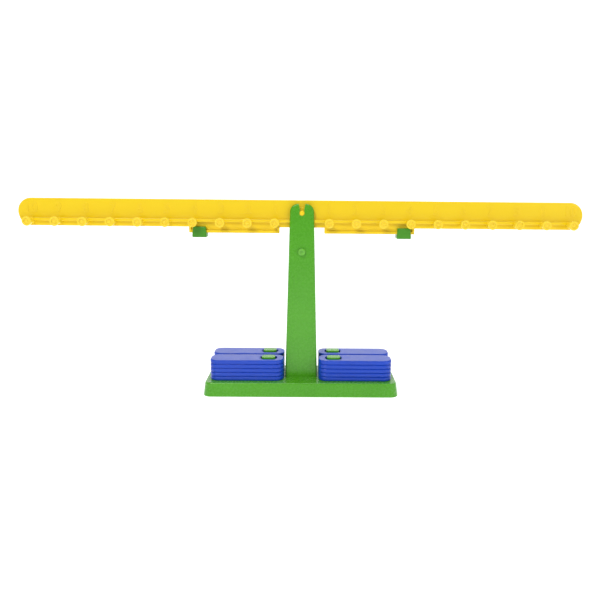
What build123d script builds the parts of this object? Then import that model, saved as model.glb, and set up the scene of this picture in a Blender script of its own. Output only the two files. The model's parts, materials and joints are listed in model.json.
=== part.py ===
from build123d import *

import math
import os

# Classroom number balance, in millimetres, standing on a table at z = 0.
# +X runs along the beam, +Y from front to back and +Z up. The origin is the middle of the foot.

# Weights: flat plates that hang on the pegs and are kept in stacks on the base
weight_length = 86.0
weight_width = 26.0
weight_thickness = 5.0
weight_corner = 9.5
weight_edge = 1.3
weights_per_stack = 5
eye_length = 19.0            # the eye that a peg or a storage post goes through
eye_width = 15.0
eye_corner = 5.0
eye_edge = 0.4
eye_end_wall = 8.3           # plastic between the eye and the end of the plate

# Base: a tray moulding, open underneath
base_height = 16.0
base_corner = 10.0
base_inset = 2.3             # how far the sides lean in by the top
base_top_round = 1.6
base_wall = 2.2
base_end_margin = 7.2        # from a stack's outer end to the foot's edge
base_side_margin = 9.75
base_rib_wall = 1.6
base_rib_lift = 1.5          # the ribs stop short of the table
base_rib_stations = (22.0, 56.0, 84.0)
post_gap = 1.6               # between a storage post and the eye around it
post_proud = 1.8             # how far a post shows above a full stack
post_wall = 1.8
post_round = 1.0
stack_gap = 1.6              # between the upright's foot and a stack
row_gap = 3.5                # between the front stack and the back stack

# Upright: two shells, front and rear, that meet in the plane y = 0
pivot_height = 210.0
prong_height = 10.5          # upright above the pivot
upright_foot_width = 38.0
upright_top_width = 27.0
upright_foot_depth = 12.0    # each shell's depth at the foot
upright_wall = 2.0
upright_edge_round = 1.9
upright_top_corner = 9.0
cheek_thickness = 2.4        # at the top of the fork
fork_clearance = 0.5         # between the beam's ledge and a cheek
fork_floor_wall = 2.0
tilt_limit = 15.0            # degrees, each way
stop_clearance = 0.5         # between the fork's floor and the beam at its limit
neck_width = 5.2             # the pivot pin snaps through this
neck_rise = 4.5              # top of the neck above the pivot
mouth_width = 7.9

# Tie pin that holds the two shells together
tie_drop = 44.0              # below the pivot
tie_radius = 4.0
tie_bore_radius = 1.7
tie_bore_depth = 1.0
tie_proud = 3.6
tie_round = 0.9
tie_sleeve_wall = 2.0
tie_clearance = 0.05

# Screws that hold the upright to the base
screw_radius = 1.5
screw_thread_bite = 0.2      # how far the thread cuts into its boss
screw_hole_clearance = 0.2
screw_head_radius = 2.8
screw_head_height = 2.0
screw_reach = 12.0           # into the upright
screw_x = 10.0
screw_y = 5.6
screw_boss_radius = 3.5
screw_boss_height = 15.0
screw_cross_width = 0.7
screw_cross_length = 3.2
screw_cross_depth = 1.1

# Beam
peg_count = 10               # on each arm
peg_pitch = 31.0
beam_end_margin = 15.0       # beyond the last peg
beam_height = 31.2
beam_rise = 14.5             # top edge above the pivot
beam_web = 3.0
beam_edge_round = 0.6
ledge_drop = 7.6             # top of the ledge below the pivot
ledge_height = 3.5
ledge_half_depth = 5.0
hub_radius = 6.5
hub_half_depth = 3.5
pivot_pin_radius = 3.0
pivot_pin_recess = 0.3       # end of the pin inside the cheek's face
pivot_pin_edge = 0.5
pivot_clearance = 0.05

# Pegs: a front stud and a rear stud that plug together through the web
peg_drop = 11.0              # peg axis below the pivot
peg_radius = 3.75
peg_tip = 16.0               # tip from the middle of the beam
peg_head_radius = 5.3
peg_head_height = 2.0
peg_head_round = 0.6
peg_dish_radius = 3.4        # hollow in the end of the head
peg_dish_depth = 1.2
peg_spigot_radius = 2.0
peg_spigot_reach = 4.0       # into the rear stud
peg_clearance = 0.05

# Slider rails under the beam
rail_gap = 12.2              # from the upright's edge to the rail
rail_length = 104.0
rail_drop = 6.6              # below the beam's bottom edge
rail_flange_height = 3.0
rail_flange_half_depth = 4.0
rail_stop = 2.5

# Sliders that zero the beam
slider_width = 16.5
slider_top_width = 14.5
slider_half_depth = 7.0
slider_band = 3.0            # straight part at the bottom
slider_floor = 5.0           # plastic under the rail
slider_round = 1.0
slider_clearance = 0.2
slider_peg_gap = 1.5
slider_rest_gap = 1.5        # from the outer stop

# How far a cutter runs past the face that it opens
cut_past = 1.0

# Sizes that follow from the ones above
upright_top = pivot_height + prong_height
row_spacing = weight_width + row_gap
stack_inner_end = upright_foot_width / 2 + stack_gap
stack_middle = stack_inner_end + weight_length / 2
stack_height = weights_per_stack * weight_thickness
eye_shift = weight_length / 2 - eye_end_wall - eye_length / 2
base_length = 2 * (stack_inner_end + weight_length + base_end_margin)
base_depth = 2 * (row_spacing / 2 + weight_width / 2 + base_side_margin)
base_lean = math.degrees(math.atan(base_inset / base_height))
post_height = stack_height + post_proud

beam_length = 2 * (peg_count * peg_pitch + beam_end_margin)
beam_drop = beam_height - beam_rise
beam_middle = pivot_height + beam_rise - beam_height / 2
fork_half_gap = ledge_half_depth + fork_clearance
upright_top_depth = fork_half_gap + cheek_thickness
tilt = math.radians(tilt_limit)

peg_height = pivot_height - peg_drop
web_face = beam_web / 2
rail_bottom = pivot_height - beam_drop - rail_drop
slider_top = peg_height - peg_radius - slider_peg_gap


def upright_half_width(height):
    """Half the upright's width at a height."""
    share = (height - base_height) / (upright_top - base_height)
    return (upright_foot_width + share * (upright_top_width - upright_foot_width)) / 2


def upright_depth(height):
    """Distance from the split plane to a shell's outer face at a height."""
    share = (height - base_height) / (upright_top - base_height)
    return upright_foot_depth + share * (upright_top_depth - upright_foot_depth)


# the tilted beam's underside is lowest over the outer edge of the fork's floor
fork_half_width = upright_half_width(pivot_height - beam_height)
fork_reach = beam_drop / math.cos(tilt) + fork_half_width * math.tan(tilt)
fork_floor = pivot_height - fork_reach - stop_clearance
rail_start = upright_half_width(pivot_height) + rail_gap
rail_end = rail_start + rail_length
slider_rest = rail_end - rail_stop - slider_rest_gap - slider_width / 2
tie_height = pivot_height - tie_drop


def block(x_range, y_range, z_range):
    """A box given by its limits along each axis."""
    size = [high - low for low, high in (x_range, y_range, z_range)]
    middle = [(high + low) / 2 for low, high in (x_range, y_range, z_range)]
    return Pos(*middle) * Box(*size)


def rod(radius, start, end):
    """A round bar along Y from start to end, on the axis x = z = 0."""
    return extrude(Plane.XZ.offset(-start) * Circle(radius), end - start, dir=(0, 1, 0))


def base_body(inset, height):
    """The base's leaning block, or its hollow when inset is a wall."""
    plan = RectangleRounded(base_length - 2 * inset, base_depth - 2 * inset, base_corner - inset)
    return extrude(plan, height, taper=base_lean)


def storage_spots():
    """Middles of the four storage posts, which are the middles of the plates' eyes."""
    x = stack_middle - eye_shift
    y = row_spacing / 2
    return [(-x, -y), (x, -y), (-x, y), (x, y)]


def screw_spots():
    return [(-screw_x, -screw_y), (screw_x, -screw_y), (-screw_x, screw_y), (screw_x, screw_y)]


def make_base():
    block_outer = base_body(0, base_height)
    body = fillet(block_outer.edges().group_by(Axis.Z)[-1], base_top_round)
    body -= base_body(base_wall, base_height - base_wall)

    rib_top = base_height - base_wall / 2
    ribs = block(
        (-base_length / 2, base_length / 2),
        (-base_rib_wall / 2, base_rib_wall / 2),
        (base_rib_lift, rib_top),
    )
    for station in base_rib_stations:
        for x in (-station, station):
            ribs += block(
                (x - base_rib_wall / 2, x + base_rib_wall / 2),
                (-base_depth / 2, base_depth / 2),
                (base_rib_lift, rib_top),
            )
    body += ribs & base_body(base_wall / 2, base_height)

    post_plan = RectangleRounded(
        eye_length - 2 * post_gap, eye_width - 2 * post_gap, eye_corner - post_gap
    )
    pocket_plan = RectangleRounded(
        eye_length - 2 * post_gap - 2 * post_wall,
        eye_width - 2 * post_gap - 2 * post_wall,
        eye_corner - post_gap - post_wall,
    )
    post = Pos(0, 0, base_height - base_wall) * extrude(post_plan, base_wall + post_height)
    post = fillet(post.edges().group_by(Axis.Z)[-1], post_round)
    pocket = extrude(pocket_plan, base_height + post_height - post_wall)
    for x, y in storage_spots():
        body += Pos(x, y, 0) * post
        body -= Pos(x, y, 0) * pocket

    for x, y in screw_spots():
        body -= Pos(x, y, base_height) * Cylinder(
            screw_radius + screw_hole_clearance, 4 * base_wall
        )
    return body


def upright_block(low, high, inset, corner):
    """The tapering block of one shell between two heights, or its hollow when inset is a wall."""
    low_half = upright_half_width(low) - inset
    high_half = upright_half_width(high) - inset
    face = Polygon((-low_half, low), (low_half, low), (high_half, high), (-high_half, high), align=None)
    if corner:
        face = fillet(face.vertices().group_by(Axis.Y)[-1], corner)
    side = Polygon(
        (0, low),
        (inset - upright_depth(low), low),
        (inset - upright_depth(high), high),
        (0, high),
        align=None,
    )
    across = extrude(Plane.YZ * side, upright_foot_width, both=True)
    return extrude(Plane.XZ * face, 2 * upright_foot_depth, dir=(0, -1, 0)) & across


def keyhole():
    """Round seat for the pivot pin, with the neck and the mouth above it."""
    seat_radius = pivot_pin_radius + pivot_clearance
    neck = Polygon(
        (-neck_width / 2, 0),
        (neck_width / 2, 0),
        (neck_width / 2, neck_rise),
        (mouth_width / 2, prong_height + cut_past),
        (-mouth_width / 2, prong_height + cut_past),
        (-neck_width / 2, neck_rise),
        align=None,
    )
    slot = extrude(Plane.XZ * neck, 2 * upright_foot_depth, dir=(0, -1, 0))
    slot += rod(seat_radius, -2 * upright_foot_depth, 0)
    return Pos(0, 0, pivot_height) * slot


def make_front_upright():
    shell = upright_block(base_height, upright_top, 0, upright_top_corner)
    front = shell.faces().sort_by(Axis.Y)[0]
    rim = [edge for edge in front.edges() if edge.center().Z > base_height + upright_wall]
    shell = fillet(rim, upright_edge_round)
    shell -= upright_block(base_height + upright_wall, fork_floor - fork_floor_wall, upright_wall, 0)

    # the beam passes between the cheeks
    shell -= block(
        (-upright_foot_width, upright_foot_width),
        (-fork_half_gap, cut_past),
        (fork_floor, upright_top + cut_past),
    )
    shell -= keyhole()

    sleeve_end = upright_depth(tie_height) - upright_wall / 2
    sleeve = rod(tie_radius + tie_clearance + tie_sleeve_wall, -sleeve_end, 0)
    shell += Pos(0, 0, tie_height) * sleeve
    bore = rod(tie_radius + tie_clearance, -2 * upright_foot_depth, cut_past)
    shell -= Pos(0, 0, tie_height) * bore

    up = (Align.CENTER, Align.CENTER, Align.MIN)
    for x in (-screw_x, screw_x):
        shell += Pos(x, -screw_y, base_height) * Cylinder(screw_boss_radius, screw_boss_height, align=up)
        pilot = Cylinder(screw_radius - screw_thread_bite, screw_reach + cut_past, align=up)
        shell -= Pos(x, -screw_y, base_height) * pilot
    return shell


def make_tie_pin():
    half = upright_depth(tie_height) + tie_proud
    pin = rod(tie_radius, -half, half)
    pin = fillet(pin.edges().filter_by(GeomType.CIRCLE), tie_round)
    pin -= rod(tie_bore_radius, -half - cut_past, tie_bore_depth - half)
    pin -= rod(tie_bore_radius, half - tie_bore_depth, half + cut_past)
    return Pos(0, 0, tie_height) * pin


def make_screw():
    """A pan head screw, head down, with its shank starting at z = 0."""
    up = (Align.CENTER, Align.CENTER, Align.MIN)
    down = (Align.CENTER, Align.CENTER, Align.MAX)
    shank = Cylinder(screw_radius, base_wall + screw_reach, align=up)
    shank = chamfer(shank.edges().group_by(Axis.Z)[-1], screw_radius / 2)
    head = Cylinder(screw_head_radius, screw_head_height, align=down)
    head = fillet(head.edges().group_by(Axis.Z)[0], screw_head_height / 2)
    for turn in (0, 90):
        head -= Rot(0, 0, turn) * block(
            (-screw_cross_length / 2, screw_cross_length / 2),
            (-screw_cross_width / 2, screw_cross_width / 2),
            (-screw_head_height - cut_past, -screw_head_height + screw_cross_depth),
        )
    return shank + head


def make_base_screws():
    screw = make_screw()
    return [Pos(x, y, base_height - base_wall) * screw for x, y in screw_spots()]


def peg_spots():
    """Positions of the pegs along the beam, from left to right."""
    steps = [n for n in range(-peg_count, peg_count + 1) if n]
    return [n * peg_pitch for n in steps]


def beam_outline():
    return Plane.XZ * Pos(0, beam_middle) * SlotOverall(beam_length, beam_height)


def make_beam():
    web = extrude(beam_outline(), web_face, both=True)
    web = fillet(web.edges(), beam_edge_round)
    ledge = block(
        (-beam_length / 2, beam_length / 2),
        (-ledge_half_depth, ledge_half_depth),
        (pivot_height - ledge_drop - ledge_height, pivot_height - ledge_drop),
    )
    beam = web + (ledge & extrude(beam_outline(), ledge_half_depth, both=True))

    for x in peg_spots():
        hole_end = web_face + peg_spigot_reach + peg_clearance
        hole = rod(peg_spigot_radius + peg_clearance, -web_face, hole_end)
        beam -= Pos(x, 0, peg_height) * hole

    beam += Pos(0, 0, pivot_height) * rod(hub_radius, -hub_half_depth, hub_half_depth)
    pin_half = upright_depth(pivot_height) - pivot_pin_recess
    pin = rod(pivot_pin_radius, -pin_half, pin_half)
    pin = chamfer(pin.edges().filter_by(GeomType.CIRCLE), pivot_pin_edge)
    beam += Pos(0, 0, pivot_height) * pin

    for side in (-1, 1):
        ends = sorted((side * rail_start, side * rail_end))
        beam += block(
            ends,
            (-web_face, web_face),
            (rail_bottom, pivot_height - beam_drop + 2 * beam_edge_round),
        )
        beam += block(
            ends,
            (-rail_flange_half_depth, rail_flange_half_depth),
            (rail_bottom, rail_bottom + rail_flange_height),
        )
        for stop in (rail_start, rail_end - rail_stop):
            beam += block(
                sorted((side * stop, side * (stop + rail_stop))),
                (-rail_flange_half_depth, rail_flange_half_depth),
                (rail_bottom, pivot_height - beam_drop),
            )
    return beam


def peg_stud():
    """A front peg on the axis x = z = 0: root against the web, head at the tip."""
    shaft = rod(peg_radius, -peg_tip + peg_head_height, -web_face)
    head = rod(peg_head_radius, -peg_tip, -peg_tip + peg_head_height)
    head = fillet(head.edges().filter_by(GeomType.CIRCLE), peg_head_round)
    stud = shaft + head - rod(peg_dish_radius, -peg_tip - cut_past, -peg_tip + peg_dish_depth)
    # the root is notched to sit under the beam's ledge
    ledge_low = peg_drop - ledge_drop - ledge_height - peg_clearance
    return stud - block(
        (-2 * peg_radius, 2 * peg_radius),
        (-ledge_half_depth - peg_clearance, 0),
        (ledge_low, peg_drop - ledge_drop + peg_clearance),
    )


def make_front_pegs():
    stud = peg_stud() + rod(peg_spigot_radius, -web_face, web_face + peg_spigot_reach)
    return [Pos(x, 0, peg_height) * stud for x in peg_spots()]


def make_rear_pegs():
    socket = rod(peg_spigot_radius + peg_clearance, 0, web_face + peg_spigot_reach + peg_clearance)
    stud = mirror(peg_stud(), Plane.XZ) - socket
    return [Pos(x, 0, peg_height) * stud for x in peg_spots()]


def make_slider():
    """A slider centred on x = 0, at its real height under the beam."""
    low = rail_bottom - slider_clearance - slider_floor
    shoulder = low + slider_band
    outline = Polygon(
        (-slider_width / 2, low),
        (slider_width / 2, low),
        (slider_width / 2, shoulder),
        (slider_top_width / 2, slider_top),
        (-slider_top_width / 2, slider_top),
        (-slider_width / 2, shoulder),
        align=None,
    )
    body = extrude(Plane.XZ * outline, slider_half_depth, both=True)
    body = fillet(body.edges(), slider_round)
    flange_top = rail_bottom + rail_flange_height
    groove_half = rail_flange_half_depth + slider_clearance
    neck_half = web_face + slider_clearance
    body -= block(
        (-slider_width, slider_width),
        (-groove_half, groove_half),
        (rail_bottom - slider_clearance, flange_top + slider_clearance),
    )
    body -= block(
        (-slider_width, slider_width),
        (-neck_half, neck_half),
        (rail_bottom, slider_top + cut_past),
    )
    return body


def make_weight():
    """A right-hand plate standing on z = 0, centred on x = y = 0, with its eye towards -X."""
    plate = extrude(RectangleRounded(weight_length, weight_width, weight_corner), weight_thickness)
    rims = plate.edges().group_by(Axis.Z)
    plate = chamfer(rims[0] + rims[-1], weight_edge)
    eye = extrude(RectangleRounded(eye_length, eye_width, eye_corner), weight_thickness)
    plate -= Pos(-eye_shift, 0, 0) * eye
    eye_rims = [
        edge
        for group in (plate.edges().group_by(Axis.Z)[0], plate.edges().group_by(Axis.Z)[-1])
        for edge in group
        if abs(edge.center().X + eye_shift) <= eye_length / 2
        and abs(edge.center().Y) <= eye_width / 2
    ]
    return chamfer(eye_rims, eye_edge)


def make_weights():
    """Every plate of the four stacks, named by its stack and counted from the base up."""
    right_plate = make_weight()
    left_plate = mirror(right_plate, Plane.YZ)
    plates = {}
    for row, y in (("front", -row_spacing / 2), ("back", row_spacing / 2)):
        for side, x, plate in (("left", -stack_middle, left_plate), ("right", stack_middle, right_plate)):
            for level in range(weights_per_stack):
                name = f"{row}_{side}_weight_{level + 1}"
                plates[name] = Pos(x, y, base_height + level * weight_thickness) * plate
    return plates


def main():
    front_upright = make_front_upright()
    slider = make_slider()
    nodes = {
        "base": make_base(),
        "front_upright": front_upright,
        "rear_upright": mirror(front_upright, Plane.XZ),
        "tie_pin": make_tie_pin(),
        "base_screws": Compound(children=make_base_screws()),
        "beam": make_beam(),
        "front_pegs": Compound(children=make_front_pegs()),
        "rear_pegs": Compound(children=make_rear_pegs()),
        "left_slider": Pos(-slider_rest, 0, 0) * slider,
        "right_slider": Pos(slider_rest, 0, 0) * slider,
    }
    nodes.update(make_weights())

    os.makedirs("parts", exist_ok=True)
    for name, shape in nodes.items():
        export_step(shape, f"parts/{name}.step")
    print(f"beam {beam_length:.1f}, base {base_length:.1f} x {base_depth:.1f}")
    print(f"rail {rail_start:.2f} to {rail_end:.2f}, slider rests at {slider_rest:.2f}")
    print(f"fork floor {fork_floor:.2f}, stacks at x {stack_middle:.2f}, y {row_spacing / 2:.2f}")


main()
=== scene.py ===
import json
import math

import bmesh
import bpy
from mathutils import Matrix, Vector


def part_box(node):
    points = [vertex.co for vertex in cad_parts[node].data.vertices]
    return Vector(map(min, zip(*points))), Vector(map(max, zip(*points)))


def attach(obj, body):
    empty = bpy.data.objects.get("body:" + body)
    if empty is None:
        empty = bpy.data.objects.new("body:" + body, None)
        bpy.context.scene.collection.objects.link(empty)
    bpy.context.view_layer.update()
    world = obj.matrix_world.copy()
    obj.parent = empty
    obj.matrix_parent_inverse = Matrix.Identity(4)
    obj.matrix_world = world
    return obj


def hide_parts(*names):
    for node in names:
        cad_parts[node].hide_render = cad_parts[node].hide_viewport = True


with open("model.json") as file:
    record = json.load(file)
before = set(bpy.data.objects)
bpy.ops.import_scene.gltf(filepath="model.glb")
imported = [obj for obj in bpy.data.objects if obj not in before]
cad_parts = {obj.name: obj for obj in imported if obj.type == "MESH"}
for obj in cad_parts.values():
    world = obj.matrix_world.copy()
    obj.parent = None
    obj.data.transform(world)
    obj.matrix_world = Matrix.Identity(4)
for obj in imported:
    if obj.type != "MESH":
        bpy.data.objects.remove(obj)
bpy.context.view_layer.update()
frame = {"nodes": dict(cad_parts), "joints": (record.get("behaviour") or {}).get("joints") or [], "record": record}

print("frame loaded:", len(frame["nodes"]), "nodes")


# small helpers

mergeReach = 1e-6  # points closer than this are one point
creaseAngle = 38  # degrees; edges sharper than this shade as edges


def mm(value):
    return value / 1000


def vertsOf(made):
    # the points among what an operator made
    return [item for item in made["geom"] if isinstance(item, bmesh.types.BMVert)]


def addBlock(bm, low, high):
    # a box between two corners
    verts = bmesh.ops.create_cube(bm, size=1)["verts"]
    bmesh.ops.scale(bm, vec=[b - a for a, b in zip(low, high)], verts=verts)
    bmesh.ops.translate(bm, vec=[(a + b) / 2 for a, b in zip(low, high)], verts=verts)
    return verts


def addRoundedFace(bm, length, width, corner, steps, shift=0.0):
    # a flat face in XY, its four corners rounded
    verts = bmesh.ops.create_grid(bm, x_segments=1, y_segments=1, size=0.5)["verts"]
    bmesh.ops.scale(bm, vec=(length, width, 1), verts=verts)
    bmesh.ops.translate(bm, vec=(shift, 0, 0), verts=verts)
    bmesh.ops.bevel(bm, geom=verts, offset=corner, offset_type="OFFSET", affect="VERTICES",
                    segments=steps, profile=0.5, material=-1)


def raiseFaces(bm, height):
    # makes a slab of the flat faces in XY
    made = bmesh.ops.extrude_face_region(bm, geom=bm.faces[:], use_keep_orig=True)
    bmesh.ops.translate(bm, vec=(0, 0, height), verts=vertsOf(made))
    bmesh.ops.recalc_face_normals(bm, faces=bm.faces)


def sharpEdges(bm, least=30):
    least = math.radians(least)
    return [edge for edge in bm.edges if len(edge.link_faces) == 2 and edge.calc_face_angle(0) > least]


def roundEdges(bm, edges, width, steps=3):
    bmesh.ops.bevel(bm, geom=edges, offset=width, offset_type="OFFSET", affect="EDGES",
                    segments=steps, profile=0.5, material=-1, clamp_overlap=True)


def turnedForm(profile, steps, rounding):
    # a round body about Y, from a profile of (radius, place along Y) with its corners rounded
    bm = bmesh.new()
    verts = [bm.verts.new((radius, along, 0)) for radius, along in profile]
    edges = [bm.edges.new(pair) for pair in zip(verts, verts[1:])]
    bmesh.ops.bevel(bm, geom=verts[1:-1] + edges, offset=rounding, offset_type="OFFSET", affect="VERTICES",
                    segments=3, profile=0.5, material=-1, clamp_overlap=True)
    bmesh.ops.spin(bm, geom=bm.verts[:] + bm.edges[:], cent=(0, 0, 0), axis=(0, 1, 0), dvec=(0, 0, 0),
                   angle=2 * math.pi, steps=steps, use_merge=True, use_duplicate=False)
    bmesh.ops.remove_doubles(bm, verts=bm.verts, dist=mergeReach)
    bmesh.ops.recalc_face_normals(bm, faces=bm.faces)
    return bm


def placeForm(bm, form, matrix):
    # adds a copy of one bmesh to another at a place
    mesh = bpy.data.meshes.new("copiedForm")
    form.to_mesh(mesh)
    mesh.transform(matrix)
    bm.from_mesh(mesh)
    bpy.data.meshes.remove(mesh)


def finishPiece(name, bm, body, finish, stands=()):
    # turns a bmesh into a smooth-shaded piece that rides on its body
    bmesh.ops.recalc_face_normals(bm, faces=bm.faces)
    mesh = bpy.data.meshes.new(name)
    bm.to_mesh(mesh)
    bm.free()
    mesh.polygons.foreach_set("use_smooth", [True] * len(mesh.polygons))
    mesh.set_sharp_from_angle(angle=math.radians(creaseAngle))
    piece = bpy.data.objects.new(name, mesh)
    bpy.context.scene.collection.objects.link(piece)
    mesh.materials.append(finish)
    weighted = piece.modifiers.new("weightedNormals", "WEIGHTED_NORMAL")
    weighted.keep_sharp = True
    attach(piece, body)
    if stands:
        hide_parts(*stands)


# shared surface effects, each one node group

def newGroup(name, inputs, outputs):
    group = bpy.data.node_groups.new(name, "ShaderNodeTree")
    for socketName, kind, value in inputs:
        socket = group.interface.new_socket(name=socketName, in_out="INPUT", socket_type=kind)
        if value is not None:
            socket.default_value = value
    for socketName, kind in outputs:
        group.interface.new_socket(name=socketName, in_out="OUTPUT", socket_type=kind)
    return group, group.nodes.new("NodeGroupInput"), group.nodes.new("NodeGroupOutput")


def feed(tree, socket, value):
    # links another node's output, or sets a plain value
    if isinstance(value, bpy.types.NodeSocket):
        tree.links.new(value, socket)
    else:
        socket.default_value = value


def mathNode(tree, operation, first, second, clamp=False):
    node = tree.nodes.new("ShaderNodeMath")
    node.operation = operation
    node.use_clamp = clamp
    feed(tree, node.inputs[0], first)
    feed(tree, node.inputs[1], second)
    return node.outputs[0]


def rangeNode(tree, value, fromLow, fromHigh, toLow=0.0, toHigh=1.0):
    node = tree.nodes.new("ShaderNodeMapRange")
    tree.links.new(value, node.inputs["Value"])
    node.inputs["From Min"].default_value = fromLow
    node.inputs["From Max"].default_value = fromHigh
    node.inputs["To Min"].default_value = toLow
    node.inputs["To Max"].default_value = toHigh
    return node.outputs["Result"]


def noiseNode(tree, vector, scale, detail, roughness):
    node = tree.nodes.new("ShaderNodeTexNoise")
    tree.links.new(vector, node.inputs["Vector"])
    feed(tree, node.inputs["Scale"], scale)
    node.inputs["Detail"].default_value = detail
    node.inputs["Roughness"].default_value = roughness
    return node.outputs["Fac"]


def stretchNode(tree, vector, scale, turn=0.0):
    node = tree.nodes.new("ShaderNodeMapping")
    tree.links.new(vector, node.inputs["Vector"])
    node.inputs["Scale"].default_value = scale
    node.inputs["Rotation"].default_value = (0, turn, 0)
    return node.outputs["Vector"]


grainForm = {"coarseShare": 0.22, "fineWeight": 0.6, "coarseWeight": 0.4}


def makeMouldGrain():
    # the fine spark-eroded skin that a mould leaves, as a height and a speckle
    group, given, out = newGroup(
        "mouldGrain",
        [("Vector", "NodeSocketVector", None), ("Grain Scale", "NodeSocketFloat", 2200.0)],
        [("Height", "NodeSocketFloat"), ("Speckle", "NodeSocketFloat")],
    )
    fine = noiseNode(group, given.outputs["Vector"], given.outputs["Grain Scale"], 2.0, 0.6)
    coarseScale = mathNode(group, "MULTIPLY", given.outputs["Grain Scale"], grainForm["coarseShare"])
    coarse = noiseNode(group, given.outputs["Vector"], coarseScale, 3.0, 0.55)
    finePart = mathNode(group, "MULTIPLY", fine, grainForm["fineWeight"])
    coarsePart = mathNode(group, "MULTIPLY", coarse, grainForm["coarseWeight"])
    group.links.new(mathNode(group, "ADD", finePart, coarsePart), out.inputs["Height"])
    group.links.new(rangeNode(group, coarse, 0.35, 0.65), out.inputs["Speckle"])
    return group


flowForm = {"streakStretch": (0.35, 1.0, 4.0), "streakFineness": 3.0}


def makeFlowTone():
    # slow changes of tone where the melt flowed and cooled
    group, given, out = newGroup(
        "flowTone",
        [("Vector", "NodeSocketVector", None), ("Flow Scale", "NodeSocketFloat", 14.0)],
        [("Tone", "NodeSocketFloat"), ("Streak", "NodeSocketFloat")],
    )
    broad = noiseNode(group, given.outputs["Vector"], given.outputs["Flow Scale"], 2.0, 0.5)
    streakVector = stretchNode(group, given.outputs["Vector"], flowForm["streakStretch"])
    streakScale = mathNode(group, "MULTIPLY", given.outputs["Flow Scale"], flowForm["streakFineness"])
    streak = noiseNode(group, streakVector, streakScale, 3.0, 0.6)
    group.links.new(rangeNode(group, broad, 0.3, 0.7), out.inputs["Tone"])
    group.links.new(rangeNode(group, streak, 0.35, 0.7), out.inputs["Streak"])
    return group


# the edge mask below lays a lighter colour on edges: partly edge wear, partly a painted highlight on rounded edges
wearAndHighlightForm = {
    "samples": 6,
    "flat": 0.995,  # how well the rounded and the true normal agree where the wear and painted edge highlight start
    "edge": 0.9,  # and where it is full
    "patchScale": 220.0,
    "least": 0.25,
}


def makeEdgeWear():
    # 1 on edges, broken up by a noise: the edges that hands and the toy box rub, whose lighter colour also paints
    #                                   the highlight that rounded edges catch
    group, given, out = newGroup(
        "edgeWear",
        [("Vector", "NodeSocketVector", None), ("Reach", "NodeSocketFloat", 0.0009)],
        [("Wear", "NodeSocketFloat")],
    )
    rounded = group.nodes.new("ShaderNodeBevel")
    rounded.samples = wearAndHighlightForm["samples"]
    group.links.new(given.outputs["Reach"], rounded.inputs["Radius"])
    surface = group.nodes.new("ShaderNodeNewGeometry")
    dot = group.nodes.new("ShaderNodeVectorMath")
    dot.operation = "DOT_PRODUCT"
    group.links.new(rounded.outputs["Normal"], dot.inputs[0])
    group.links.new(surface.outputs["Normal"], dot.inputs[1])
    edge = rangeNode(group, dot.outputs["Value"], wearAndHighlightForm["flat"], wearAndHighlightForm["edge"])
    patches = noiseNode(group, given.outputs["Vector"], wearAndHighlightForm["patchScale"], 4.0, 0.65)
    patches = rangeNode(group, patches, 0.36, 0.62, wearAndHighlightForm["least"], 1.0)
    group.links.new(mathNode(group, "MULTIPLY", edge, patches, clamp=True), out.inputs["Wear"])
    return group


handlingForm = {
    "dustScale": 60.0,
    "dustSlope": (0.55, 0.98),  # no dust on faces steeper than the first, full dust past the second
    "scuffScale": 6.0,
    "scuffs": [(0.35, (6.0, 90.0, 160.0)), (-0.9, (8.0, 120.0, 200.0))],  # turn and stretch of each set
}


def makeHandling():
    # dust that settles on upward faces, and the hairline scuffs of use
    group, given, out = newGroup(
        "handling",
        [("Vector", "NodeSocketVector", None)],
        [("Dust", "NodeSocketFloat"), ("Scuff", "NodeSocketFloat")],
    )
    surface = group.nodes.new("ShaderNodeNewGeometry")
    split = group.nodes.new("ShaderNodeSeparateXYZ")
    group.links.new(surface.outputs["Normal"], split.inputs["Vector"])
    upward = rangeNode(group, split.outputs["Z"], *handlingForm["dustSlope"])
    settled = noiseNode(group, given.outputs["Vector"], handlingForm["dustScale"], 5.0, 0.7)
    settled = rangeNode(group, settled, 0.4, 0.75)
    group.links.new(mathNode(group, "MULTIPLY", upward, settled), out.inputs["Dust"])
    scuffs = []
    for turn, stretch in handlingForm["scuffs"]:
        stretched = stretchNode(group, given.outputs["Vector"], stretch, turn)
        lines = noiseNode(group, stretched, handlingForm["scuffScale"], 2.0, 0.5)
        scuffs.append(rangeNode(group, lines, 0.7, 0.82))
    group.links.new(mathNode(group, "MAXIMUM", *scuffs), out.inputs["Scuff"])
    return group


effects = {
    "grain": makeMouldGrain(),
    "flow": makeFlowTone(),
    "wear": makeEdgeWear(),
    "handling": makeHandling(),
}
print("surface effects made:", ", ".join(effects))


# finishes

# each plastic's worn colour is lighter than its body; laid on edges it stands for wear and also paints the
# highlight that rounded edges catch
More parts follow.
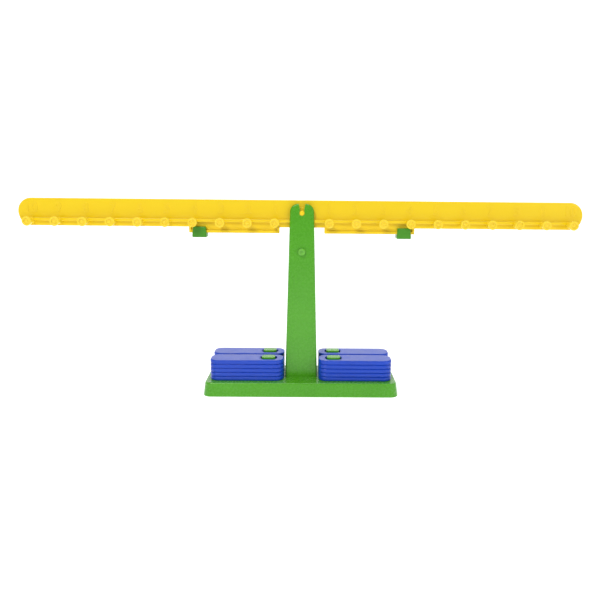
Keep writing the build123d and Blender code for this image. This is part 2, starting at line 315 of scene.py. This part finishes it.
plasticLooks = {
    "yellowPlastic": {
        "body": (0.8, 0.57, 0.005),
        "deep": (0.775, 0.54, 0.003),
        "worn": (0.88, 0.68, 0.08),
        "roughness": 0.3,
        "shine": 0.45,
        "wear": 0.3,
        "reach": 0.0008,
        "dust": 0.04,
        "flowScale": 9.0,
        "grainScale": 1800.0,
        "grainDepth": 0.00002,
    },
    # a lighter copy of the yellow plastic for the pegs: the lighter body paints the highlight on the round rims of
    # their heads
    "pegPlastic": {
        "body": (0.84, 0.62, 0.03),
        "deep": (0.81, 0.585, 0.02),
        "worn": (0.92, 0.74, 0.16),
        "roughness": 0.28,
        "shine": 0.45,
        "wear": 0.5,
        "reach": 0.0006,
        "dust": 0.04,
        "flowScale": 40.0,
        "grainScale": 1800.0,
        "grainDepth": 0.00002,
    },
    "greenPlastic": {
        "body": (0.072, 0.335, 0.008),
        "deep": (0.058, 0.295, 0.005),
        "worn": (0.2, 0.5, 0.1),
        "roughness": 0.27,
        "shine": 0.48,
        "wear": 0.45,
        "reach": 0.001,
        "dust": 0.05,
        "flowScale": 16.0,
        "grainScale": 1500.0,
        "grainDepth": 0.00002,
    },
    # a lighter copy of the green plastic for the tie pin: the lighter body paints the highlight on its lit ring
    "pinPlastic": {
        "body": (0.13, 0.43, 0.04),
        "deep": (0.11, 0.39, 0.03),
        "worn": (0.26, 0.58, 0.14),
        "roughness": 0.3,
        "shine": 0.48,
        "wear": 0.5,
        "reach": 0.0008,
        "dust": 0.04,
        "flowScale": 60.0,
        "grainScale": 1500.0,
        "grainDepth": 0.00002,
    },
    "sliderPlastic": {
        "body": (0.05, 0.25, 0.009),
        "deep": (0.042, 0.215, 0.007),
        "worn": (0.14, 0.4, 0.07),
        "roughness": 0.32,
        "shine": 0.45,
        "wear": 0.35,
        "reach": 0.0012,
        "dust": 0.05,
        "flowScale": 40.0,
        "grainScale": 1500.0,
        "grainDepth": 0.00002,
    },
    "bluePlastic": {
        "body": (0.007, 0.057, 0.5),
        "deep": (0.005, 0.046, 0.43),
        "worn": (0.09, 0.16, 0.7),
        "roughness": 0.29,
        "shine": 0.36,
        "wear": 0.35,
        "reach": 0.001,
        "dust": 0.06,
        "flowScale": 30.0,
        "grainScale": 1600.0,
        "grainDepth": 0.00002,
    },
}


plasticShared = {
    "toneShare": 0.7,
    "streakShare": 0.3,
    "dustColour": (0.75, 0.75, 0.73),
    "smoother": 0.012,  # how far the speckle takes the roughness down
    "rougher": 0.018,  # and up
    "scuffRoughness": 0.06,
    "wearRoughness": 0.08,
    "scuffCut": 0.25,
    "bump": 0.3,
    "ior": 1.5,
}


def placeGroup(tree, key, vector, values):
    node = tree.nodes.new("ShaderNodeGroup")
    node.node_tree = effects[key]
    tree.links.new(vector, node.inputs["Vector"])
    for name, value in values.items():
        node.inputs[name].default_value = value
    return node


def mixColour(tree, factor, first, second):
    node = tree.nodes.new("ShaderNodeMix")
    node.data_type = "RGBA"
    node.clamp_factor = True
    tree.links.new(factor, node.inputs["Factor"])
    for socket, colour in ((node.inputs[6], first), (node.inputs[7], second)):
        feed(tree, socket, (*colour, 1) if isinstance(colour, tuple) else colour)
    return node.outputs[2]


def addGrainBump(tree, shader, height, depth):
    bump = tree.nodes.new("ShaderNodeBump")
    bump.inputs["Strength"].default_value = plasticShared["bump"]
    bump.inputs["Distance"].default_value = depth
    tree.links.new(height, bump.inputs["Height"])
    tree.links.new(bump.outputs["Normal"], shader.inputs["Normal"])


def makePlastic(name):
    look = plasticLooks[name]
    material = bpy.data.materials.new(name)
    material.use_nodes = True
    tree = material.node_tree
    shader = tree.nodes["Principled BSDF"]
    place = tree.nodes.new("ShaderNodeTexCoord").outputs["Object"]
    grain = placeGroup(tree, "grain", place, {"Grain Scale": look["grainScale"]})
    flow = placeGroup(tree, "flow", place, {"Flow Scale": look["flowScale"]})
    wear = placeGroup(tree, "wear", place, {"Reach": look["reach"]})
    handling = placeGroup(tree, "handling", place, {})

    tone = mathNode(tree, "MULTIPLY", flow.outputs["Tone"], plasticShared["toneShare"])
    streak = mathNode(tree, "MULTIPLY", flow.outputs["Streak"], plasticShared["streakShare"])
    colour = mixColour(tree, mathNode(tree, "ADD", tone, streak), look["body"], look["deep"])
    # lighter colour on edges: edge wear together with a painted edge highlight
    worn = mathNode(tree, "MULTIPLY", wear.outputs["Wear"], look["wear"])
    colour = mixColour(tree, worn, colour, look["worn"])
    dust = mathNode(tree, "MULTIPLY", handling.outputs["Dust"], look["dust"])
    colour = mixColour(tree, dust, colour, plasticShared["dustColour"])
    tree.links.new(colour, shader.inputs["Base Color"])

    smoothest = look["roughness"] - plasticShared["smoother"]
    roughest = look["roughness"] + plasticShared["rougher"]
    rough = rangeNode(tree, grain.outputs["Speckle"], 0.0, 1.0, smoothest, roughest)
    for mask, share in (
        (handling.outputs["Scuff"], plasticShared["scuffRoughness"]),
        (wear.outputs["Wear"], plasticShared["wearRoughness"]),
    ):
        rough = mathNode(tree, "ADD", rough, mathNode(tree, "MULTIPLY", mask, share))
    tree.links.new(rough, shader.inputs["Roughness"])

    cut = mathNode(tree, "MULTIPLY", handling.outputs["Scuff"], plasticShared["scuffCut"])
    addGrainBump(tree, shader, mathNode(tree, "SUBTRACT", grain.outputs["Height"], cut), look["grainDepth"])
    shader.inputs["IOR"].default_value = plasticShared["ior"]
    shader.inputs["Specular IOR Level"].default_value = look["shine"]
    return material


zincLook = {
    "bright": (0.62, 0.63, 0.65),
    "dull": (0.5, 0.52, 0.56),
    "bare": (0.75, 0.76, 0.77),
    "bloomScale": 900.0,
    "grainScale": 3000.0,
    "grainDepth": 0.00002,
    "reach": 0.0003,
    "wear": 0.6,
    "roughness": (0.24, 0.4),
}


def makeZincSteel():
    # bright zinc plating with a dull bloom in patches
    material = bpy.data.materials.new("zincSteel")
    material.use_nodes = True
    tree = material.node_tree
    shader = tree.nodes["Principled BSDF"]
    place = tree.nodes.new("ShaderNodeTexCoord").outputs["Object"]
    grain = placeGroup(tree, "grain", place, {"Grain Scale": zincLook["grainScale"]})
    wear = placeGroup(tree, "wear", place, {"Reach": zincLook["reach"]})
    bloom = rangeNode(tree, noiseNode(tree, place, zincLook["bloomScale"], 3.0, 0.6), 0.35, 0.65)
    colour = mixColour(tree, bloom, zincLook["bright"], zincLook["dull"])
    worn = mathNode(tree, "MULTIPLY", wear.outputs["Wear"], zincLook["wear"])
    tree.links.new(mixColour(tree, worn, colour, zincLook["bare"]), shader.inputs["Base Color"])
    rough = rangeNode(tree, grain.outputs["Speckle"], 0.0, 1.0, *zincLook["roughness"])
    tree.links.new(rough, shader.inputs["Roughness"])
    shader.inputs["Metallic"].default_value = 1.0
    addGrainBump(tree, shader, grain.outputs["Height"], zincLook["grainDepth"])
    return material


finishes = {name: makePlastic(name) for name in plasticLooks}
finishes["zincSteel"] = makeZincSteel()
slotFinishes = {
    "yellow_plastic": "yellowPlastic",
    "green_plastic": "greenPlastic",
    "slider_plastic": "sliderPlastic",
    "blue_plastic": "bluePlastic",
    "zinc_steel": "zincSteel",
}
print("finishes made:", ", ".join(finishes))


# carried-over nodes: every frame node gets its finish

# the pegs and the tie pin take lighter copies of their plastics, which paint the highlights on their rims
nodeFinishes = {"tie_pin": "pinPlastic", "front_pegs": "pegPlastic", "rear_pegs": "pegPlastic"}

for part in frame["record"]["subparts"]:
    node = frame["nodes"][part["node"]]
    finish = finishes[nodeFinishes.get(part["node"], slotFinishes[part["material_slot"]])]
    if node.data.materials:
        for place in range(len(node.data.materials)):
            node.data.materials[place] = finish
    else:
        node.data.materials.append(finish)
print("frame nodes painted")


# weight plates

plateForm = {
    "corner": mm(9.5),
    "cornerSteps": 8,
    "edge": mm(1.35),
    "eyeLength": mm(19.0),
    "eyeWidth": mm(15.0),
    "eyeCorner": mm(5.0),
    "eyeEdge": mm(0.4),
    "eyeEndWall": mm(8.3),  # from the plate's inner end to its window
    "edgeSteps": 3,
    "eyeEdgeSteps": 2,
}


def inWindow(edge, windowX):
    # whether the edge's middle lies within the window
    middle = (edge.verts[0].co + edge.verts[1].co) / 2
    alongX = abs(middle.x - windowX) <= plateForm["eyeLength"] / 2
    return alongX and abs(middle.y) <= plateForm["eyeWidth"] / 2


def makePlate(node):
    # one slab with round corners and a window near its inner end
    low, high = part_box(node)
    side = -1 if "left" in node else 1
    length, width, thickness = high - low
    eyeShift = -side * (length / 2 - plateForm["eyeEndWall"] - plateForm["eyeLength"] / 2)
    bm = bmesh.new()
    addRoundedFace(bm, length, width, plateForm["corner"], plateForm["cornerSteps"])
    addRoundedFace(bm, plateForm["eyeLength"], plateForm["eyeWidth"], plateForm["eyeCorner"],
                   plateForm["cornerSteps"], eyeShift)
    bmesh.ops.delete(bm, geom=bm.faces[:], context="FACES_ONLY")
    bmesh.ops.bridge_loops(bm, edges=bm.edges[:])
    raiseFaces(bm, thickness)
    rims = sharpEdges(bm)
    eyeRims = [edge for edge in rims if inWindow(edge, eyeShift)]
    outerRims = [edge for edge in rims if not inWindow(edge, eyeShift)]
    roundEdges(bm, outerRims, plateForm["edge"], plateForm["edgeSteps"])
    eyeRims = [edge for edge in eyeRims if edge.is_valid]
    roundEdges(bm, eyeRims, plateForm["eyeEdge"], plateForm["eyeEdgeSteps"])
    bmesh.ops.translate(bm, vec=((low.x + high.x) / 2, (low.y + high.y) / 2, low.z), verts=bm.verts)
    name = "plate_" + node.replace("_weight", "")
    finishPiece(name, bm, node, finishes["bluePlastic"], [node])


for node in sorted(frame["nodes"]):
    if "_weight_" in node:
        makePlate(node)
print("weight plates made")


# pegs

pegForm = {
    "perArm": 10,
    "rootRadius": mm(3.95),
    "shaftRadius": mm(3.7),
    "headRadius": mm(5.3),
    "headHeight": mm(2.0),
    "dishRadius": mm(3.4),
    "dishDepth": mm(1.2),
    "nubRadius": mm(1.2),
    "nubHeight": mm(0.6),
    "rounding": mm(0.42),
    "start": mm(1.2),  # inside the beam's web
    "steps": 32,
}


def pegPitch(low, high):
    # from one peg to the next, from the box of a row
    return ((high.x - low.x) / 2 - pegForm["headRadius"]) / pegForm["perArm"]


def makePegs(node, facing):
    # a row of headed studs; facing is -1 for the front row and 1 for the rear
    low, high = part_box(node)
    tip = -low.y if facing < 0 else high.y
    neck = tip - pegForm["headHeight"]
    dish = tip - pegForm["dishDepth"]
    form = turnedForm([
        (0, pegForm["start"]),
        (pegForm["rootRadius"], pegForm["start"]),
        (pegForm["shaftRadius"], neck),
        (pegForm["headRadius"], neck),
        (pegForm["headRadius"], tip),
        (pegForm["dishRadius"], tip),
        (pegForm["dishRadius"], dish),
        (pegForm["nubRadius"], dish),
        (pegForm["nubRadius"], dish + pegForm["nubHeight"]),
        (0, dish + pegForm["nubHeight"]),
    ], pegForm["steps"], pegForm["rounding"])
    turn = Matrix.Rotation(math.pi, 4, "Z") if facing < 0 else Matrix.Identity(4)
    pitch = pegPitch(low, high)
    bm = bmesh.new()
    for step in range(1, pegForm["perArm"] + 1):
        for side in (-1, 1):
            at = (side * step * pitch, 0, (low.z + high.z) / 2)
            placeForm(bm, form, Matrix.Translation(at) @ turn)
    form.free()
    finishPiece(node + "_turned", bm, "beam", finishes["pegPlastic"], [node])


makePegs("front_pegs", -1)
makePegs("rear_pegs", 1)
print("pegs made")


# beam moulding

swing = next(joint for joint in frame["joints"] if joint["name"] == "beam_swing")
pivotHeight = swing["pos_m"][2]

beamForm = {
    "height": mm(31.2),
    "web": mm(3.0),
    "edge": mm(0.6),
    "endSteps": 24,
    "endFlat": mm(0.01),  # keeps the two corners of an end from meeting
    "ledgeBelowPivot": mm(7.6),
    "ledgeHeight": mm(3.5),
    "ledgeDepth": mm(10.0),
    "ledgeEdge": mm(0.55),
    "ledgeSetback": mm(1.2),
    "hubRadius": mm(6.5),
    "hubDepth": mm(7.0),
    "hubSteps": 48,
    "pinRadius": mm(3.0),
    "pinSteps": 40,
    "pinEdge": mm(0.5),
    "railStart": mm(25.98),
    "railLength": mm(104.0),
    "flangeHeight": mm(3.0),
    "flangeDepth": mm(8.0),
    "stopLength": mm(2.5),
    "railEdge": mm(0.4),
    "railWebEdge": mm(0.2),
    # each block of a rail is a little smaller than the one it sinks into, so that none share a face
    "webThinner": mm(0.04),
    "webShorter": mm(0.5),
    "webAboveFoot": mm(0.9),
    "flangeShorter": mm(0.12),
    "stopSmaller": mm(0.1),
    "stopIntoBeam": mm(0.2),
}


def addRoundedBlock(bm, low, high, edge):
    block = bmesh.new()
    addBlock(block, low, high)
    roundEdges(block, sharpEdges(block), edge)
    placeForm(bm, block, Matrix.Identity(4))
    block.free()


def addLedge(bm, halfLength, middle, top):
    # the long shelf behind the pegs; its ends follow the beam's round ends
    radius = beamForm["height"] / 2
    straight = halfLength - radius
    bottom = top - beamForm["ledgeHeight"]
    ledge = bmesh.new()
    depth = beamForm["ledgeDepth"] / 2
    verts = addBlock(ledge, (-halfLength, -depth, bottom), (halfLength, depth, top))
    for vert in verts:
        chord = math.sqrt(radius ** 2 - (vert.co.z - middle) ** 2)
        vert.co.x = math.copysign(straight + chord - beamForm["ledgeSetback"], vert.co.x)
    roundEdges(ledge, sharpEdges(ledge), beamForm["ledgeEdge"])
    placeForm(bm, ledge, Matrix.Identity(4))
    ledge.free()


def addRails(bm, low, underside):
    # a T rail under each arm, closed by a stop at each end
    start = beamForm["railStart"]
    end = start + beamForm["railLength"]
    web = beamForm["web"] / 2 - beamForm["webThinner"]
    flange = beamForm["flangeDepth"] / 2
    stopDepth = flange - beamForm["stopSmaller"]
    stopFoot = low + beamForm["stopSmaller"]
    # start, end, half depth, bottom, top and edge of each block
    blocks = [
        (start + beamForm["webShorter"], end - beamForm["webShorter"], web,
         low + beamForm["webAboveFoot"], underside + beamForm["edge"] * 2, beamForm["railWebEdge"]),
        (start + beamForm["flangeShorter"], end - beamForm["flangeShorter"], flange,
         low, low + beamForm["flangeHeight"], beamForm["railEdge"]),
    ]
    for stop in (start, end - beamForm["stopLength"]):
        blocks.append((stop, stop + beamForm["stopLength"], stopDepth,
                       stopFoot, underside + beamForm["stopIntoBeam"], beamForm["railEdge"]))
    for side in (-1, 1):
        for near, far, depth, bottom, top, edge in blocks:
            left, right = sorted((side * near, side * far))
            addRoundedBlock(bm, (left, -depth, bottom), (right, depth, top), edge)


def addBarrel(bm, radius, front, back, height, steps):
    # a solid round body across the beam, with rounded rims
    profile = [(0, front), (radius, front), (radius, back), (0, back)]
    barrel = turnedForm(profile, steps, beamForm["pinEdge"])
    placeForm(bm, barrel, Matrix.Translation((0, 0, height)))
    barrel.free()


def makeBeam():
    low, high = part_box("beam")
    halfLength = high.x
    middle = high.z - beamForm["height"] / 2
    bm = bmesh.new()
    endRadius = beamForm["height"] / 2 - beamForm["endFlat"]
    addRoundedFace(bm, 2 * halfLength, beamForm["height"], endRadius, beamForm["endSteps"])
    raiseFaces(bm, beamForm["web"])
    roundEdges(bm, sharpEdges(bm), beamForm["edge"])
    bmesh.ops.translate(bm, vec=(0, 0, -beamForm["web"] / 2), verts=bm.verts)
    bmesh.ops.rotate(bm, cent=(0, 0, 0), matrix=Matrix.Rotation(math.pi / 2, 3, "X"), verts=bm.verts)
    bmesh.ops.translate(bm, vec=(0, 0, middle), verts=bm.verts)
    addLedge(bm, halfLength, middle, pivotHeight - beamForm["ledgeBelowPivot"])
    addRails(bm, low.z, high.z - beamForm["height"])
    hub = beamForm["hubDepth"] / 2
    addBarrel(bm, beamForm["hubRadius"], -hub, hub, pivotHeight, beamForm["hubSteps"])
    addBarrel(bm, beamForm["pinRadius"], low.y, high.y, pivotHeight, beamForm["pinSteps"])
    finishPiece("beamMoulding", bm, "beam", finishes["yellowPlastic"], ["beam"])


makeBeam()
print("beam made")


# numerals on the beam

numeralForm = {
    "height": mm(11.0),
    "raise": mm(0.3),
    "edge": mm(0.12),
    "bolder": mm(0.1),
    "sizePerHeight": 1.42,  # the font's size for a numeral one unit high
    "abovePivot": mm(3.6),
}


def makeNumeral(text):
    # one numeral as a bmesh, flat in XY
    curve = bpy.data.curves.new("numeralCurve", "FONT")
    curve.body = text
    curve.align_x = "CENTER"
    curve.align_y = "CENTER"
    curve.size = numeralForm["height"] * numeralForm["sizePerHeight"]
    curve.extrude = numeralForm["raise"]
    curve.bevel_depth = numeralForm["edge"]
    curve.bevel_resolution = 1
    curve.offset = numeralForm["bolder"]
    curve.resolution_u = 6
    holder = bpy.data.objects.new("numeralHolder", curve)
    bpy.context.scene.collection.objects.link(holder)
    bpy.context.view_layer.update()
    mesh = bpy.data.meshes.new_from_object(holder.evaluated_get(bpy.context.evaluated_depsgraph_get()))
    bpy.data.objects.remove(holder)
    numeral = bmesh.new()
    numeral.from_mesh(mesh)
    bpy.data.meshes.remove(mesh)
    bmesh.ops.remove_doubles(numeral, verts=numeral.verts, dist=mergeReach)
    return numeral


def makeNumerals(name, facing):
    # facing is -1 for the front of the beam and 1 for the rear
    turn = Matrix.Rotation(math.pi / 2, 4, "X")
    if facing > 0:
        turn = Matrix.Rotation(math.pi, 4, "Z") @ turn
    pitch = pegPitch(*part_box("front_pegs"))
    y = facing * beamForm["web"] / 2
    z = pivotHeight + numeralForm["abovePivot"]
    bm = bmesh.new()
    for step in range(1, pegForm["perArm"] + 1):
        numeral = makeNumeral(str(step))
        for side in (-1, 1):
            at = (side * step * pitch, y, z)
            placeForm(bm, numeral, Matrix.Translation(at) @ turn)
        numeral.free()
    finishPiece(name, bm, "beam", finishes["yellowPlastic"])


makeNumerals("frontNumerals", -1)
makeNumerals("rearNumerals", 1)
print("numerals made")


# floor, light and camera

floorForm = {
    "halfWidth": 5.0,
    "front": -1.6,
    "back": 1.6,
    "rise": 2.4,
    "bend": 0.8,
    "bendSteps": 16,
    "shade": 0.93,
    "roughness": 0.95,
    "glow": 0.42,
}


def makeFloor():
    # a pale sheet that runs back and curves up behind the object
    bm = bmesh.new()
    side, front, back = floorForm["halfWidth"], floorForm["front"], floorForm["back"]
    corners = [(-side, front, 0), (side, front, 0), (side, back, 0), (-side, back, 0)]
    bm.faces.new([bm.verts.new(corner) for corner in corners])
    far = [edge for edge in bm.edges if all(vert.co.y > 0 for vert in edge.verts)]
    made = bmesh.ops.extrude_edge_only(bm, edges=far)
    bmesh.ops.translate(bm, vec=(0, 0, floorForm["rise"]), verts=vertsOf(made))
    roundEdges(bm, sharpEdges(bm), floorForm["bend"], floorForm["bendSteps"])
    mesh = bpy.data.meshes.new("floor")
    bm.to_mesh(mesh)
    bm.free()
    mesh.polygons.foreach_set("use_smooth", [True] * len(mesh.polygons))
    floor = bpy.data.objects.new("floor", mesh)
    bpy.context.scene.collection.objects.link(floor)
    material = bpy.data.materials.new("palePaper")
    material.use_nodes = True
    shader = material.node_tree.nodes["Principled BSDF"]
    shader.inputs["Base Color"].default_value = (*[floorForm["shade"]] * 3, 1)
    shader.inputs["Roughness"].default_value = floorForm["roughness"]
    shader.inputs["Specular IOR Level"].default_value = 0.0
    shader.inputs["Emission Color"].default_value = (1, 1, 1, 1)
    shader.inputs["Emission Strength"].default_value = floorForm["glow"]
    mesh.materials.append(material)


lampForms = {
    "key": {"at": (-0.7, -1.4, 1.6), "size": 0.8, "power": 22.5},
    "fill": {"at": (1.3, -1.3, 0.8), "size": 1.4, "power": 8.0},
    "top": {"at": (0.1, 0.1, 1.8), "size": 1.0, "power": 11.0},
}

lampAim = (0, 0, 0.12)  # the middle of the object
skyForm = {"light": 0.28, "backdrop": 1.0}


def makeLamps():
    for name, form in lampForms.items():
        lamp = bpy.data.lights.new(name, "AREA")
        lamp.shape = "DISK"
        lamp.size = form["size"]
        lamp.energy = form["power"]
        holder = bpy.data.objects.new(name, lamp)
        holder.location = form["at"]
        aim = Vector(lampAim) - Vector(form["at"])
        holder.rotation_euler = aim.to_track_quat("-Z", "Y").to_euler()
        bpy.context.scene.collection.objects.link(holder)


def makeSky():
    # soft light from all round; the backdrop that is seen is brighter than its light
    world = bpy.data.worlds.new("studio")
    world.use_nodes = True
    sky = world.node_tree.nodes["Background"]
    sky.inputs["Color"].default_value = (1, 1, 1, 1)
    seen = world.node_tree.nodes.new("ShaderNodeLightPath").outputs["Is Camera Ray"]
    strength = rangeNode(world.node_tree, seen, 0.0, 1.0, skyForm["light"], skyForm["backdrop"])
    world.node_tree.links.new(strength, sky.inputs["Strength"])
    bpy.context.scene.world = world
    bpy.context.scene.view_settings.view_transform = "Standard"


cameraForm = {
    "at": (mm(6.9), mm(-695.0), mm(245.7)),
    "turn": 0.745,  # degrees to the right
    "down": 11.227,
    "roll": 0.579,
    "lens": 35.80,
    "shift": -0.025,
}


def makeCamera():
    lens = bpy.data.cameras.new("camera")
    lens.lens = cameraForm["lens"]
    lens.shift_x = cameraForm["shift"]
    lens.clip_start = 0.01
    holder = bpy.data.objects.new("camera", lens)
    turn = Matrix.Rotation(-math.radians(cameraForm["turn"]), 3, "Z")
    tilt = Matrix.Rotation(math.radians(90 - cameraForm["down"]), 3, "X")
    roll = Matrix.Rotation(math.radians(cameraForm["roll"]), 3, "Z")
    holder.rotation_euler = (turn @ tilt @ roll).to_euler()
    holder.location = cameraForm["at"]
    bpy.context.scene.collection.objects.link(holder)
    bpy.context.scene.camera = holder


makeFloor()
makeLamps()
makeSky()
makeCamera()
print("floor, light and camera set")
